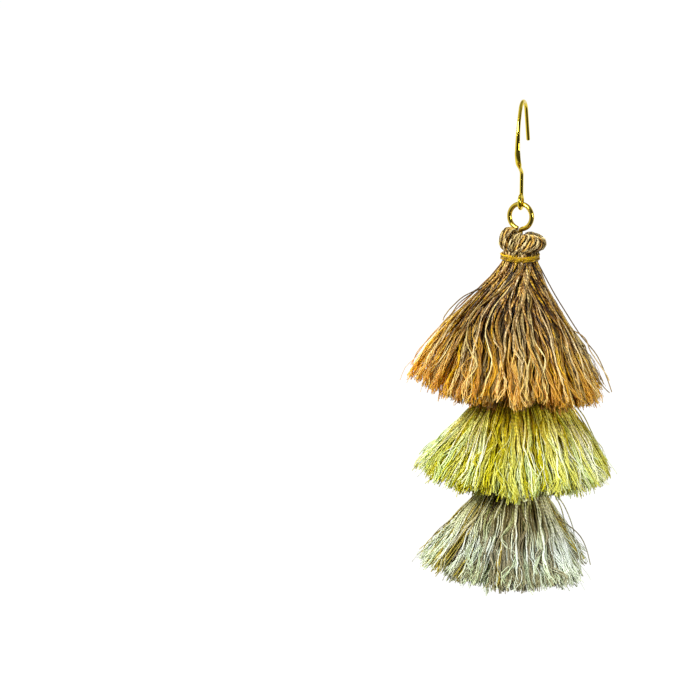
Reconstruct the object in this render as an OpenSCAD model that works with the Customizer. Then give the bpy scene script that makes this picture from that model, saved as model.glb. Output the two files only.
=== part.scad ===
// Drop earring: an ear hook, an eye pin and three nested thread tassels.
// The origin is the inside top of the hook's arch, where it sits in the ear.
// +Z is up, the hook lies in the YZ plane with its tail toward +Y,
// and the tassels hang toward -Z.

/* [Ear hook] */
// Thickness of the ear wire
hook_wire = 0.7; // [0.6:0.05:0.8]
// Inside top of the arch down to the middle of the bottom loop's lowest wire
hook_h = 19; // [18:0.5:22]
// Radius of the arch, to the middle of the wire
arch_r = 2.7; // [2.5:0.1:3]
// Lean of the front arm where it meets the arch
front_lean = 32; // [30:1:34]
// Radius of the bulge low on the front arm
bulge_r = 3.75; // [3.5:0.25:4]
// Length of the straight slope under the bulge
slope_l = 1.65; // [1.4:0.05:1.9]
// Turn of the kink between the slope and the stem
kink_turn = 60; // [55:1:65]
// Bend radius of the kink, to the middle of the wire
kink_r = 0.9; // [0.7:0.1:1.1]
// Slant of the tail from the vertical
tail_slant = 20; // [15:1:25]
// Length of the straight tail
tail_l = 5.8; // [5:0.1:7]
// Width of the hammered blade on the bulge
blade_w = 1.05; // [0.8:0.05:1.2]
// Thickness of the hammered blade
blade_t = 0.5; // [0.4:0.05:0.6]
// Radius of the loop at the bottom, to the middle of the wire
loop_r = 1.2; // [1.15:0.05:1.3]

/* [Eye pin] */
// Thickness of the pin's wire
pin_wire = 0.9; // [0.8:0.05:0.95]
// Radius of the eye, to the middle of the wire
eye_r = 2.3; // [2.2:0.1:2.6]
// Turn of the eye about the upright shaft, from square to the hook's loop
eye_face = 16; // [0:1:16]
// Diameter of the flat head under the last tassel
pin_head_d = 2.4; // [2:0.1:3]

/* [Tassels] */
// Distance from one tassel to the next
tier_step = 17.6; // [16.6:0.2:18.6]
// Thread from the binding to the cut end, changed by the table of lengths below
thread_l = 28; // [27:0.2:29]
// Radius of the neck, under the binding
neck_r = 2.9; // [2.7:0.1:3.1]
// Radius of the bulging head
head_r = 4.1; // [3.9:0.1:4.3]
// Height of the head above the binding
head_h = 3.7; // [3.4:0.1:4]
// Folded bundles round a head
bundles = 11; // [9:1:13]
// Locks round a skirt
locks = 21; // [17:1:25]
// Spread of the hems, as a share of the reach in the table below
spread = 1; // [0.9:0.02:1.06]
// Turn of the hems' right side from +X toward +Y
spread_turn = 17; // [0:1:30]

/* [Bindings] */
// Thickness of the gold binding thread
binding_wire = 0.5; // [0.4:0.05:0.6]
// Turns of thread in a binding
binding_turns = 3; // [2:1:4]

/* [Hidden] */
$fn = 32;

GOLD = [0.83, 0.66, 0.22];
CARAMEL = [0.70, 0.52, 0.31];
LIME = [0.80, 0.78, 0.36];
SILVER = [0.68, 0.67, 0.58];
YELLOW = [0.87, 0.75, 0.18];

// The tassels' uneven shapes, a row for each. Reach of the hem from the axis:
// right, back right, back, back left, left, front left, front, front right
REACH = [
    [15.2, 18.8, 17.0, 14.8, 20.7, 16.5, 15.5, 15.2],
    [17.3, 17.6, 15.5, 15.0, 18.9, 16.0, 15.0, 15.5],
    [11.5, 16.4, 14.6, 12.8, 18.4, 14.6, 13.4, 12.2]
];
// Share of the thread length: right, back, left, front
LENGTH = [
    [0.985, 0.97, 0.955, 0.945],
    [0.93, 0.95, 0.93, 0.92],
    [0.93, 0.91, 0.935, 0.92]
];
// How late a skirt widens, where 1 is even: right, left
BELL = [
    [1.35, 1.25],
    [1.25, 1.8],
    [1.75, 1.7]
];
LAST = len(REACH) - 1;

// Small gap that keeps the pieces apart
gap = 0.1;
// Short straight between two opposite bends of a wire
ease = 0.1;

// Ear hook: the arch stands over the origin and the loop hangs in front of it
loop_y = -1;
loop_neck_r = 0.6;
loop_turn = 53;
// Where the loop's cut end stands, turned up from +Y
loop_end = 105;
stem_y = loop_y + (loop_neck_r + loop_r) * cos(loop_turn) - ease * sin(loop_turn) - loop_neck_r;
arch_z = hook_wire / 2 - arch_r;
bulge_reach = (kink_r + bulge_r) * (1 - cos(kink_turn)) + slope_l * sin(kink_turn);
// The long front arm is an arc that joins the bulge to the arch
front_r = (bulge_reach - stem_y - arch_r * cos(front_lean)) / (1 - cos(front_lean));
kink_z = arch_z + arch_r * sin(front_lean) - front_r * sin(front_lean)
    - slope_l * cos(kink_turn) - (kink_r + bulge_r) * sin(kink_turn);
stem_bottom_z = loop_r - hook_h + (loop_neck_r + loop_r) * sin(loop_turn) + ease * cos(loop_turn);
stem_l = kink_z - stem_bottom_z;
tip_l = 0.15;
// The flattened stretch reaches this far into the round wire at each end
sink = 0.08;

// Eye pin: the eye hangs on the loop's lowest wire
eye_z = -hook_h + (hook_wire + pin_wire) / 2 + gap / 2 - eye_r;
eye_neck_r = 0.6;
eye_turn = 76;
// Where the eye's cut end stands, turned from +X over the top
eye_end = 255;
shaft_top_z = eye_z - (eye_r + eye_neck_r) * sin(eye_turn) - ease * cos(eye_turn);

// Tassels, each drawn with the lower edge of its binding at z = 0
binding_pitch = binding_wire * 0.84;
binding_h = binding_wire + (binding_turns - 1) * binding_pitch;
top_neck_z = eye_z - eye_r - pin_wire / 2 - gap - head_h - binding_h;
function neck_z(tier) = top_neck_z - tier * tier_step;
pin_head_t = 0.4;
pin_head_z = neck_z(LAST) - 1.6;
bore_r = pin_wire / 2 + gap;
head_tilt = 0.6;
// Depth of the groove between two locks at the neck, and its gain by the hem
lock_t = 0.3;
lock_gain = 1.5;
// How far the lower half of a skirt bulges, as a share of its width
droop = 0.35;
// Room round the tassel below inside a skirt, and over its head
clear = 0.5;
head_room = 0.3;
// How far the inner threads stop above the outer ones' cut
hem_lift = 0.4;
// Points round a tassel, four for each lock
sides = locks * 4;
// Unevenness of the locks: width as a share, sway in degrees and its wave along
// the thread, reach, and length as a share
width_uneven = 0.16;
lock_sway = 1.5;
sway_wave = 200;
short_reach = 0.5;
reach_uneven = 0.3;
length_uneven = 0.02;
// How much shorter the thread in a groove is at the hem, as a share
groove_lift = 0.06;
// Twist of a head's bundles as a share of a turn, and unevenness of their tops
bundle_twist = 0.06;
bundle_lump = 0.2;
// Points across a lock: place along its width, and share of the groove's depth
ALONG = 0;
DEEP = 1;
LOCK = [[0, 1], [0.22, 0.2], [0.5, 0], [0.78, 0.2]];
// Rows of a head above its binding: share of its height, share of its radius,
// and depth of the creases between the bundles
UP = 0;
OUT = 1;
CREASE = 2;
HEAD = [
    [0.1, 0.83, 0.2],
    [0.32, 0.97, 0.5],
    [0.6, 1, 0.6],
    [0.84, 0.92, 0.6],
    [1, 0.7, 0.5],
    [0.94, 0.42, 0.3]
];

// Repeatable unevenness between -1 and 1
function uneven(i, k) = sin(i * 137.5 + k * 71.3 + i * i * 23.7);

// Points of a row on an ellipse round a centre, spanned by two half axes
function oval(centre, a, b, n) =
    [for (j = [0 : n - 1]) centre + a * cos(j * 360 / n) + b * sin(j * 360 / n)];

// A closed solid through rows of points, each row turning the same way. It has
// a cap at both ends, or with ring set its last row joins on to its first
module loft(rows, ring = false) {
    n = len(rows[0]);
    count = len(rows);
    caps = [[for (j = [0 : n - 1]) j], [for (j = [n - 1 : -1 : 0]) (count - 1) * n + j]];
    walls = [
        for (k = [0 : count - (ring ? 1 : 2)], j = [0 : n - 1])
            let (
                a = k * n + j,
                b = k * n + (j + 1) % n,
                up = (k + 1) % count * n,
                c = up + j,
                d = up + (j + 1) % n
            )
            each [[a, c, b], [b, c, d]]
    ];
    polyhedron(
        points = [for (row = rows, p = row) p],
        faces = ring ? walls : concat(caps, walls),
        convexity = 8
    );
}

// Round wire bent in the XY plane from the origin toward +X, with the
// children at its end. A step is [straight length, 0] or [bend radius, turn to the left]
module wire(d, steps, at = 0) {
    if (at == len(steps)) {
        children();
    } else {
        size = steps[at][0];
        turn = steps[at][1];
        side = sign(turn);
        if (side == 0) {
            rotate([0, 90, 0]) cylinder(d = d, h = size);
            translate([size, 0, 0]) wire(d, steps, at + 1) children();
        } else {
            translate([0, side * size, 0]) rotate([0, 0, -90 * side]) {
                rotate_extrude(angle = turn) translate([size, 0]) circle(d = d);
                rotate([0, 0, turn]) translate([size, 0, 0]) rotate([0, 0, 90 * side])
                    wire(d, steps, at + 1) children();
            }
        }
    }
}

// Starts a wire in the hook's plane, with its heading turned up from +Y
module in_hook_plane(y, z, heading) {
    translate([0, y, z]) rotate([90, 0, 90]) rotate([0, 0, heading]) children();
}

// A point and heading of the front arm, from the top of the kink to the arch
kink_top = [stem_y - kink_r * (1 - cos(kink_turn)), kink_z + kink_r * sin(kink_turn)];
slope_top = kink_top + slope_l * [-sin(kink_turn), cos(kink_turn)];
bulge_c = slope_top + bulge_r * [cos(kink_turn), sin(kink_turn)];
front_c = bulge_c + [front_r - bulge_r, 0];
front_arm = concat(
    [for (s = [-sink, 0.4]) [kink_top + s * (slope_top - kink_top), kink_turn]],
    [for (a = [kink_turn : -5 : 5]) [bulge_c - bulge_r * [cos(a), sin(a)], a]],
    [for (k = [0 : 12]) let (a = -front_lean * k / 12) [front_c - front_r * [cos(a), sin(a)], a]],
    [[front_c - front_r * [cos(front_lean), -sin(front_lean)]
        + sink * [sin(front_lean), cos(front_lean)], -front_lean]]
);

// Blade width and thickness grow on the slope and fade up the arm
function blade(a) = min(1, max(0, (a + front_lean * 0.6) / (kink_turn * 0.5)))
    * min(1, max(0, (kink_turn + 2 - a) / 14));

module front_arm_wire() {
    loft([
        for (p = front_arm)
            let (
                flat = blade(p[1]),
                round_d = hook_wire - 0.02,
                w = round_d + (blade_w - round_d) * flat,
                t = round_d + (blade_t - round_d) * flat
            )
            oval([0, p[0][0], p[0][1]], [w / 2, 0, 0], t / 2 * [0, cos(p[1]), sin(p[1])], 24)
    ]);
}

module ear_hook() {
    color(GOLD) {
        // Loop, neck, stem and kink, from the loop's cut end
        in_hook_plane(loop_y + loop_r * cos(loop_end), loop_r - hook_h + loop_r * sin(loop_end),
            loop_end + 90)
            wire(hook_wire, [
                [loop_r, 360 - loop_end + loop_turn],
                [ease, 0],
                [loop_neck_r, -loop_turn],
                [stem_l, 0],
                [kink_r, kink_turn]
            ]);
        front_arm_wire();
        // Arch and tail, from the top of the front arm
        in_hook_plane(-arch_r * cos(front_lean), arch_z + arch_r * sin(front_lean), 90 - front_lean)
            wire(hook_wire, [[arch_r, front_lean + tail_slant - 180], [tail_l, 0]]) tail_tip();
    }
}

// The tail's end, with its sharp edge taken off
module tail_tip() {
    rotate([0, 90, 0]) cylinder(d1 = hook_wire, d2 = hook_wire * 0.6, h = tip_l);
}

module eye_pin() {
    color(GOLD) translate([0, loop_y, 0]) rotate([0, 0, -eye_face]) {
        translate([0, 0, pin_head_z]) rotate([90, 0, 0]) rotate([0, 0, 90])
            wire(pin_wire, [
                [shaft_top_z - pin_head_z, 0],
                [eye_neck_r, -eye_turn],
                [ease, 0],
                [eye_r, eye_turn + eye_end]
            ]);
        translate([0, 0, pin_head_z - pin_head_t]) cylinder(d = pin_head_d, h = pin_head_t);
    }
}

// A table's row in one direction, smooth between its columns
function toward(row, az) =
    let (
        n = len(row),
        place = ((az - spread_turn) / 360 * n + 2 * n) % n,
        k = floor(place),
        share = (1 - cos(180 * (place - k))) / 2
    )
    row[k] * (1 - share) + row[(k + 1) % n] * share;

function reach(tier, az) = spread * toward(REACH[tier], az);

// Drop of a thread that leaves the neck toward az and ends at radius r
function fall(tier, az, r) =
    sqrt(pow(thread_l * toward(LENGTH[tier], az), 2) - pow(r * (1 - neck_r / reach(tier, az)), 2));

// A point of the skirt's face at s, from 0 at the neck to 1 at the hem, where
// the hem reaches further by extra and the point stands off the face by off
function skirt(tier, az, s, extra = 0, off = 0) =
    let (
        hem = reach(tier, az) + extra,
        widened = pow(s, toward(BELL[tier], az)) * (1 + droop * (1 - s * s))
    )
    at(az, neck_r + (hem - neck_r) * widened + off, -fall(tier, az, hem) * s);

function at(az, r, z) = [r * cos(az), r * sin(az), z];

// The groove before lock i, unevenly spaced
function groove(tier, i) = (i + width_uneven * uneven(i % locks, tier)) * 360 / locks;

// A row of the skirt's outer face at s: four points for each lock, of which
// the first lies in the groove
function skirt_row(tier, s) = [
    for (i = [0 : locks - 1], k = [0 : 3])
        let (
            start = groove(tier, i),
            width = groove(tier, i + 1) - start,
            sway = lock_sway * uneven(i, tier + 9) * sin(s * sway_wave),
            az = start + width * LOCK[k][ALONG] + sway,
            deep = LOCK[k][DEEP],
            extra = -short_reach * (i % 2) + reach_uneven * uneven(i, tier + 3),
            cut = s * (1 + length_uneven * uneven(i, tier + 6) - groove_lift * deep * s)
        )
        skirt(tier, az, cut, extra, -deep * (lock_t + lock_gain * s))
];

// A row of the cut ends, which curve down toward the middle of the skirt
function hem_row(tier, share) = [
    for (j = [0 : sides - 1])
        let (az = groove(tier, 0) + j * 360 / sides, r = share * reach(tier, az))
        at(az, r, hem_lift - fall(tier, az, r))
];

function ring_row(r, z) = [for (j = [0 : sides - 1]) at(j * 360 / sides, r, z)];

// A row of the hollow that clears the skirt of the tassel below
function hollow_row(tier, s) = [
    for (j = [0 : sides - 1])
        let (az = groove(tier, 0) + j * 360 / sides)
        skirt(tier, az, s, 0, clear) - [0, 0, tier_step]
];

// The hollow over the tassel below, from the bore down
roof_z = binding_h + head_h + head_room - tier_step;
function hollow(tier) = [
    ring_row(bore_r, roof_z),
    ring_row(head_r * 0.7, roof_z),
    ring_row(head_r + clear, roof_z - head_h * 0.3),
    ring_row(head_r + clear, binding_h / 2 - tier_step),
    hollow_row(tier, 0.18),
    hollow_row(tier, 0.36)
];

// Cut ends, outer face and neck of a tassel, from the inside of the hem up
function outside(tier) = concat(
    [hem_row(tier, 0.62), hem_row(tier, 0.84)],
    [for (s = [1, 0.86, 0.66, 0.45, 0.25, 0.1]) skirt_row(tier, s)],
    [ring_row(neck_r, 0), ring_row(neck_r, binding_h)]
);

// A row of a head: folded bundles that bulge over the binding. The top
// tassel's head leans, and the heads that a skirt covers are level
function head_row(tier, row) = [
    for (j = [0 : sides - 1])
        let (
            az = j * 360 / sides,
            place = bundles * (az / 360 + bundle_twist * row[UP]) + 0.3 * uneven(tier, 5),
            crown = pow(abs(sin(180 * place)), 0.6),
            r = head_r * row[OUT] - row[CREASE] * (1 - crown),
            lean = tier == 0 ? -head_tilt * cos(az - spread_turn) * r / head_r * row[UP] : 0,
            lump = bundle_lump * uneven(floor(place) % bundles, tier + 23) * crown * row[UP]
        )
        at(az, r, binding_h + head_h * row[UP] + lean + lump)
];

function head(tier) = concat(
    [for (row = HEAD) head_row(tier, row)],
    [ring_row(bore_r, binding_h + head_h * 0.7)]
);

// A tassel with a hollow for the head and neck of the next one
module hollow_tassel(tier) {
    translate([0, loop_y, neck_z(tier)]) loft(concat(hollow(tier + 1), outside(tier), head(tier)), true);
}

module tassel_top() {
    color(CARAMEL) hollow_tassel(0);
}

module tassel_middle() {
    color(LIME) hollow_tassel(1);
}

// The last tassel is a full bundle that closes round the pin's flat head
module tassel_bottom() {
    seat_z = pin_head_z - neck_z(LAST);
    pocket = [
        ring_row(bore_r, seat_z + gap),
        ring_row(pin_head_d / 2 + gap, seat_z + gap),
        ring_row(pin_head_d / 2 + gap, seat_z - pin_head_t - gap)
    ];
    color(SILVER) translate([0, loop_y, neck_z(LAST)])
        loft(concat([ring_row(2, hem_lift - fall(LAST, 0, 2))], outside(LAST), head(LAST), pocket));
}

// Gold thread wound round a neck
module binding(tier) {
    color(YELLOW) translate([0, loop_y, neck_z(tier)]) rotate_extrude()
        for (i = [0 : binding_turns - 1])
            translate([neck_r + gap + binding_wire / 2, binding_wire / 2 + i * binding_pitch])
                circle(d = binding_wire);
}

module binding_top() {
    binding(0);
}

module binding_middle() {
    binding(1);
}

module binding_bottom() {
    binding(2);
}

ear_hook();
eye_pin();
tassel_top();
tassel_middle();
tassel_bottom();
binding_top();
binding_middle();
binding_bottom();
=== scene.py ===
# %% [markdown]
# # A three-tier tassel earring
# This lesson dresses a finished construction model, which gives the real sizes: a fish-hook ear wire,
# an open wire eye, and three thread tassels, one inside the other. The wires keep the model's shapes
# and get a polished metal. The tassels are plain solids there, so each is rebuilt here as what it is:
# a few thousand silk threads, tied with gold thread at the neck.

import bmesh
import bpy
import math
import numpy as np
from collections import namedtuple
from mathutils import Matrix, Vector


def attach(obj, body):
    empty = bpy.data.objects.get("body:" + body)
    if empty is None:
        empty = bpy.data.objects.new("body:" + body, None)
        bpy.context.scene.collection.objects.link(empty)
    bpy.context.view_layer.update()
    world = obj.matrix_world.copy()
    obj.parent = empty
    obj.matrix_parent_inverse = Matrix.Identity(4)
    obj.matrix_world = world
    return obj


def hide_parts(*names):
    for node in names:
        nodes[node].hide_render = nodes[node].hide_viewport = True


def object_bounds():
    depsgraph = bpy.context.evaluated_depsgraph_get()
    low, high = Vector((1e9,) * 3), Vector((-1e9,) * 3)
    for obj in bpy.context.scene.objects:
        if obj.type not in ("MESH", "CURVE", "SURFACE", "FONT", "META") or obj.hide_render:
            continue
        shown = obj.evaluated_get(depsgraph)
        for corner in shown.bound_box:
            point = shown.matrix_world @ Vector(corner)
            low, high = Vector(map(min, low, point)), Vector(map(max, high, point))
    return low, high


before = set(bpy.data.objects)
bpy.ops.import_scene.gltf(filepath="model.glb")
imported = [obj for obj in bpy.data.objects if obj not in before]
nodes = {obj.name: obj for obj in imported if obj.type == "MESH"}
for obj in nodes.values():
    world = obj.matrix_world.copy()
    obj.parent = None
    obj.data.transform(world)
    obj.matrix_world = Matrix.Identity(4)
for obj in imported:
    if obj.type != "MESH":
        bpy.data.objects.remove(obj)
cad_low, cad_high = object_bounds()
MM = 0.001
scene = bpy.context.scene
print("model box in mm:", [round(v / MM, 1) for v in (*cad_low, *cad_high)])

# %% [markdown]
# ## Camera
# The earring is seen from a little above and from its right, through a long lens, because a short one
# would make the lowest tassel look smaller than it is. The camera stands a little to the left, which
# puts the earring where the photograph has it, with no lens shift.

# %% Camera
PICTURE = 700
MM_PER_PIXEL = 0.184
AXIS_PIXEL = Vector((518.8, 346))
AZIMUTH, ELEVATION = 17, 10
LENS, SENSOR = 110, 36
NEAR, FAR = 0.01, 10
MIDDLE = Vector((0, -1 * MM, -44.4 * MM))


def direction(azimuth, elevation):
    """The way to a place at these angles in degrees, where azimuth 0 is in front."""
    a, e = math.radians(azimuth), math.radians(elevation)
    return Vector((math.sin(a) * math.cos(e), -math.cos(a) * math.cos(e), math.sin(e)))


def turn_to_face(thing, back):
    """Turns a camera or a light so that back lies behind it."""
    thing.rotation_mode = "QUATERNION"
    thing.rotation_quaternion = (-back).to_track_quat("-Z", "Y")


view_back = direction(AZIMUTH, ELEVATION)
view_right = direction(AZIMUTH + 90, 0)
view_up = view_back.cross(view_right)
distance = LENS / SENSOR * (PICTURE * MM_PER_PIXEL * MM)
off_centre = (AXIS_PIXEL - Vector((PICTURE / 2, PICTURE / 2))) * MM_PER_PIXEL * MM
camera = bpy.data.objects.new("camera", bpy.data.cameras.new("camera"))
scene.collection.objects.link(camera)
camera.data.lens, camera.data.sensor_width = LENS, SENSOR
camera.data.clip_start, camera.data.clip_end = NEAR, FAR
camera.location = MIDDLE + view_back * distance - view_right * off_centre.x + view_up * off_centre.y
turn_to_face(camera, view_back)
scene.camera = camera
print("camera stands", round(distance / MM), "mm away")

# %% [markdown]
# ## The shape of a skirt
# A tassel's threads all have one length, so one that ends far out ends higher, and the cut ends lie on
# a shallow dome. These formulas are the model's own, in its millimetres. Only the lowest hem is cut a
# little straighter here. A shape that follows no rule is easiest to write as a table: a few values
# round the tassel, with smooth steps between them.

# %% Sizes of the tassels
TIERS = ("top", "middle", "bottom")
LOOP_Y = -1
NECK_Z = (-28.34, -45.94, -63.54)
NECK_R, BINDING_H = 2.9, 1.34
HEAD_R, HEAD_H = 4.1, 3.7
THREAD_L = 28
SPREAD_TURN = 17
LOCKS = 21
DROOP = 0.35
# How far out the hem reaches for each tier:
# right, back right, back, back left, left, front left, front, front right
REACH = np.array((
    (15.2, 18.8, 17, 14.8, 20.7, 16.5, 15.5, 15.2),
    (17.3, 17.6, 15.5, 15, 18.9, 16, 15, 15.5),
    (11.5, 16.4, 14.6, 12.8, 18.4, 14.6, 13.4, 12.2),
))
# Length of the threads as a share of THREAD_L: right, back, left, front
LENGTH = np.array(((0.985, 0.97, 0.955, 0.945), (0.93, 0.95, 0.93, 0.92), (0.94, 0.91, 0.945, 0.9)))
# How long a skirt stays narrow below its neck: right, left
BELL = np.array(((1.35, 1.25), (1.25, 1.8), (1.75, 1.7)))


def uneven(i, k):
    """A fixed stand-in for chance, from -1 to 1, for the lock i and the use k."""
    return np.sin(np.radians(i * 137.5 + k * 71.3 + i * i * 23.7))


def toward(row, azimuth):
    """A table's row in each direction, smooth between its columns."""
    place = ((azimuth - SPREAD_TURN) / 360 * len(row)) % len(row)
    low = np.floor(place).astype(int)
    share = (1 - np.cos(np.pi * (place - low))) / 2
    return row[low % len(row)] * (1 - share) + row[(low + 1) % len(row)] * share


def fall(tier, azimuth, radius, hem):
    """How far below the neck a thread ends in a direction and at a radius."""
    return np.sqrt((THREAD_L * toward(LENGTH[tier], azimuth)) ** 2 - (radius * (1 - NECK_R / hem)) ** 2)


def widened(tier, azimuth, s):
    """Share of its full width that a skirt has at s, from 0 at the neck to 1 at the hem."""
    return s ** toward(BELL[tier], azimuth) * (1 + DROOP * (1 - s * s))


print("the top hem reaches", toward(REACH[0], np.arange(0, 360, 45)).round(1), "mm")

# %% [markdown]
# ## How a thread is made
# A silk thread is a thin tube along a path. Thousands are too many for separate objects, so all the
# threads of a piece are laid as chains of edges in one mesh, and Geometry Nodes turns every chain into
# a tube: Mesh to Curve, then Curve to Mesh with a three-sided ring, which is enough for a thread a
# fifth of a millimetre thick.
#
# Each thread also needs its own colour, which has to survive export. So every tube lies in one of 64 narrow
# bands of a UV map: four shades of silk with sixteen depths each, steps of lightness that hold a thread's
# own tone and its painted light and shade. Up the map a thread runs from its neck to its cut end.

# %% A tube along every chain
SHADES, DEPTHS = 4, 16
BANDS = SHADES * DEPTHS
SIDES = 3
UV_NAME = "OFBake"


def put_in(node, values):
    """Sets inputs of a node by their names."""
    for key, value in values.items():
        node.inputs[key].default_value = value


def thread_tubes():
    """A node group that makes a closed tube along every chain of edges."""
    tree = bpy.data.node_groups.new("thread_tubes", "GeometryNodeTree")
    tree.interface.new_socket("Geometry", in_out="INPUT", socket_type="NodeSocketGeometry")
    tree.interface.new_socket("Geometry", in_out="OUTPUT", socket_type="NodeSocketGeometry")
    new, link = tree.nodes.new, tree.links.new
    chains, tubes = new("NodeGroupInput"), new("NodeGroupOutput")
    to_curve, to_mesh = new("GeometryNodeMeshToCurve"), new("GeometryNodeCurveToMesh")
    ring, turn = new("GeometryNodeCurvePrimitiveCircle"), new("GeometryNodeSplineParameter")
    around, thick = new("GeometryNodeStoreNamedAttribute"), new("GeometryNodeInputNamedAttribute")
    smooth = new("GeometryNodeSetShadeSmooth")
    put_in(ring, {"Resolution": SIDES})
    put_in(around, {"Name": "around"})
    put_in(thick, {"Name": "thick"})
    put_in(to_mesh, {"Fill Caps": True})
    link(chains.outputs[0], to_curve.inputs["Mesh"])
    link(to_curve.outputs[0], to_mesh.inputs["Curve"])
    link(ring.outputs["Curve"], around.inputs["Geometry"])
    link(turn.outputs["Factor"], around.inputs["Value"])
    link(around.outputs[0], to_mesh.inputs["Profile Curve"])
    link(thick.outputs["Attribute"], to_mesh.inputs["Scale"])
    link(to_mesh.outputs[0], smooth.inputs[0])
    link(smooth.outputs[0], tubes.inputs[0])
    return tree


TUBES = thread_tubes()
print("a thread is a tube with", SIDES, "sides, in one of", BANDS, "bands")

# %% Threads as chains of edges
# Paths in mm as (threads, points, 3), radii in mm, a band for each, and the places along them
Threads = namedtuple("Threads", "paths radii bands along")


def chains_mesh(name, groups):
    """A mesh with a chain of edges for each thread, which knows its size, band and place."""
    mesh = bpy.data.meshes.new(name)
    points = np.concatenate([g.paths.reshape(-1, 3) for g in groups]) * MM
    edges, start = [], 0
    for group in groups:
        count, length = group.paths.shape[:2]
        index = start + np.arange(count * length).reshape(count, length)
        edges.append(np.stack([index[:, :-1], index[:, 1:]], -1).reshape(-1, 2))
        start += count * length
    edges = np.concatenate(edges)
    mesh.vertices.add(len(points))
    mesh.vertices.foreach_set("co", points.ravel().astype(np.float32))
    mesh.edges.add(len(edges))
    mesh.edges.foreach_set("vertices", edges.ravel().astype(np.int32))
    known = {
        "thick": [g.radii * MM for g in groups],
        "band": [g.bands[:, None] for g in groups],
        "along": [g.along[None] for g in groups],
    }
    for key, parts in known.items():
        values = [np.broadcast_to(part, g.paths.shape[:2]).ravel() for part, g in zip(parts, groups)]
        attribute = mesh.attributes.new(key, "FLOAT", "POINT")
        attribute.data.foreach_set("value", np.concatenate(values).astype(np.float32))
    return mesh


# %% Tubes and their UV map
# What a tube leaves free at the sides of its band and at its ends
SIDE_MARGIN, END_MARGIN = 0.15, 0.004


def point_values(mesh, name):
    values = np.zeros(len(mesh.vertices), np.float32)
    mesh.attributes[name].data.foreach_get("value", values)
    return values


def add_uv_map(mesh):
    """Lays every tube in its band of the map."""
    band, along, around = (point_values(mesh, key) for key in ("band", "along", "around"))
    corner = np.zeros(len(mesh.loops), np.int32)
    mesh.loops.foreach_get("vertex_index", corner)
    across = SIDE_MARGIN + (1 - 2 * SIDE_MARGIN) * around[corner] * SIDES / (SIDES - 1)
    up = END_MARGIN + (1 - 2 * END_MARGIN) * along[corner]
    uv = np.stack([(band[corner] + across) / BANDS, up], -1)
    mesh.uv_layers.new(name=UV_NAME).data.foreach_set("uv", uv.ravel().astype(np.float32))
    for key in ("band", "along", "around", "thick"):
        mesh.attributes.remove(mesh.attributes[key])


def lay_threads(name, groups):
    """One piece with a tube along every thread, and its UV map."""
    chains = bpy.data.objects.new(name + "_chains", chains_mesh(name + "_chains", groups))
    scene.collection.objects.link(chains)
    chains.modifiers.new("tubes", "NODES").node_group = TUBES
    graph = bpy.context.evaluated_depsgraph_get()
    mesh = bpy.data.meshes.new_from_object(chains.evaluated_get(graph))
    bpy.data.objects.remove(chains)
    mesh.name = name
    add_uv_map(mesh)
    piece = bpy.data.objects.new(name, mesh)
    scene.collection.objects.link(piece)
    print(name, "has", sum(len(g.paths) for g in groups), "threads and",
          sum(len(p.vertices) - 2 for p in mesh.polygons), "triangles")
    return piece


# %% [markdown]
# ## Twisting yarn
# Silk yarn is a few plies twisted round each other. Here a yarn is one path, and its plies are copies,
# shifted sideways round it. The shift turns as it goes, which is the twist, and it can grow toward the
# cut end, where real plies come apart. As geometry the twist holds up close and from any side.

# %% Copies round a path
def sides_of(paths):
    """Two directions square to each path: sideways, and away from the tassel's axis."""
    out = (paths - (0, LOOP_Y, 0)) * (1, 1, 0) + (0, 0, 1e-3)
    ahead = np.gradient(paths, axis=1)
    ahead /= np.linalg.norm(ahead, axis=2, keepdims=True)
    side = np.cross(ahead, out)
    side /= np.linalg.norm(side, axis=2, keepdims=True) + 1e-9
    return side, np.cross(side, ahead)


def around_paths(paths, angle, radius):
    """Copies of each path, shifted round it: angle and radius are (paths, copies, points)."""
    side, over = sides_of(paths)
    across, lift = radius * np.cos(angle), radius * np.sin(angle)
    copies = paths[:, None] + across[..., None] * side[:, None] + lift[..., None] * over[:, None]
    return copies.reshape(-1, *paths.shape[1:])


def ply_paths(paths, plies, radius, turns, phase):
    """Each path becomes so many plies, at a radius round it and with so many turns."""
    turn = np.arange(plies)[None, :, None] / plies + turns[:, None, :] + phase[:, None, None]
    radius = np.broadcast_to(radius, paths.shape[:2])[:, None, :]
    return around_paths(paths, 2 * np.pi * turn, radius)


def wave(rng, count, s, size, length):
    """An uneven wave of a length in mm along each thread, zero at the neck."""
    total = np.zeros((count, len(s)))
    for part in (1, 1.7):
        shift = rng.uniform(0, 1, (count, 1))
        swell = rng.uniform(0.5, 1, (count, 1))
        place = part * s * THREAD_L / length + shift
        total += swell / part * (np.sin(2 * np.pi * place) - np.sin(2 * np.pi * shift))
    return total * size * s**0.8


def smooth_curve(points, count):
    """So many points along a smooth curve through a few, by Catmull-Rom."""
    before, after = points[:1] * 2 - points[1:2], points[-1:] * 2 - points[-2:-1]
    padded = np.concatenate([before, points, after])
    place = np.linspace(0, len(points) - 1.001, count)
    i = place.astype(int)
    t = (place - i)[:, None]
    a, b, c, d = (padded[i + k] for k in range(4))
    return 0.5 * (2 * b + (c - a) * t + (2 * a - 5 * b + 4 * c - d) * t**2 + (3 * b - a - 3 * c + d) * t**3)


def to_points(tier, angle, radius, height):
    """Points in mm from angles in radians, radii round the axis and heights over the neck."""
    x, y = radius * np.cos(angle), radius * np.sin(angle) + LOOP_Y
    return np.stack([x, y, height + NECK_Z[tier]], -1)


print("round a corner:", smooth_curve(np.array(((0, 1), (1, 1), (1, 0))), 5).round(2).tolist())

# %% [markdown]
# ## The skirts
# Seen close, a skirt isn't an even sheet of threads. Its yarns leave the neck in three layers. They
# hang together in a score of locks that sweep to one side or the other, with dark gaps between them.
# In its upper half a yarn is a tidy cord of three twisted plies, and below it frays into fine fibres
# that end in a blunt brush. So the threads are laid in three levels: a lock, the yarns in it, and the
# fibres of a yarn. Each level only has to follow the one above it.

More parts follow.
